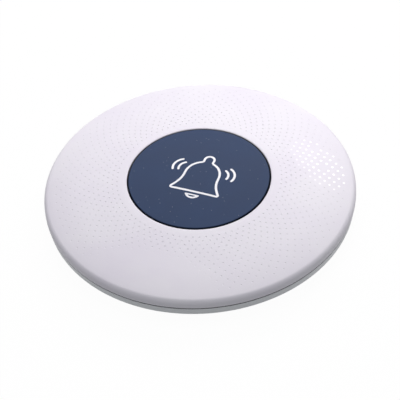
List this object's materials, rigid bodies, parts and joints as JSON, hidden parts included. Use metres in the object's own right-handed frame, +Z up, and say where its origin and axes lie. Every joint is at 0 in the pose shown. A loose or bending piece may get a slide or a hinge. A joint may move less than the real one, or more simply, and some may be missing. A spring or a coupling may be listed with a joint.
{
  "type": "waiter call button",
  "caption": "Round domed table call button with a flush press cap, a patch of indicator dots and a quarter-turn battery door underneath.",
  "frame": {"origin": "centre of the foot ring's underside, on the table", "axes": "+Z up along the puck's axis, +X through a key of the cap, between front right and right of the dome, so that the indicator patch lies at about 30 degrees towards +Y"},
  "size_m": [0.088, 0.088, 0.0133],
  "materials": {
    "shell_white": "satin moulded",
    "cap_slate": "fine matt texture",
    "base_grey": "satin moulded",
    "diffuser": "clear, polished",
    "seal_dark": "matt",
    "foot_rubber": "matt",
    "dome_silicone": "translucent matt",
    "steel": "plated",
    "nickel": "bright nickel",
    "board_green": "solder resist",
    "chip_black": "moulded",
    "lamp_clear": "clear",
    "copper": "bare wire"
  },
  "bodies": {
    "housing": {"top_cover": "shell_white", "light_guide": "diffuser", "base_cover": "base_grey", "housing_seal": "seal_dark", "foot_ring": "foot_rubber", "housing_screws": "steel", "coin_cell": "nickel", "positive_contact": "nickel", "negative_contact": "nickel", "circuit_board": "board_green", "board_screws": "steel", "switch_body": "chip_black", "return_dome": "dome_silicone", "indicator_leds": "lamp_clear", "radio_chip": "chip_black", "crystal": "steel", "chip_passives": "chip_black", "antenna_coil": "copper"},
    "button": {"button_cap": "cap_slate"},
    "plunger": {"switch_plunger": "chip_black"},
    "door": {"battery_door": "base_grey", "door_seal": "seal_dark"}
  },
  "joints": [
    {"name": "button_press", "type": "slide", "parent": "housing", "child": "button", "axis": [0, 0, -1], "range_m": [0, 0.0008], "stiffness_N_per_m": 2000, "springref_m": -0.0005, "deforming": ["return_dome"]},
    {"name": "plunger_press", "type": "slide", "parent": "housing", "child": "plunger", "axis": [0, 0, -1], "range_m": [0, 0.00025]},
    {"name": "door_turn", "type": "hinge", "parent": "housing", "child": "door", "pos_m": [0, 0, 0.0015], "axis": [0, 0, 1], "range_deg": [0, 35]}
  ],
  "couplings": [
    {"joint": "plunger_press", "follows": "button_press", "ratio": 0.3125}
  ]
}
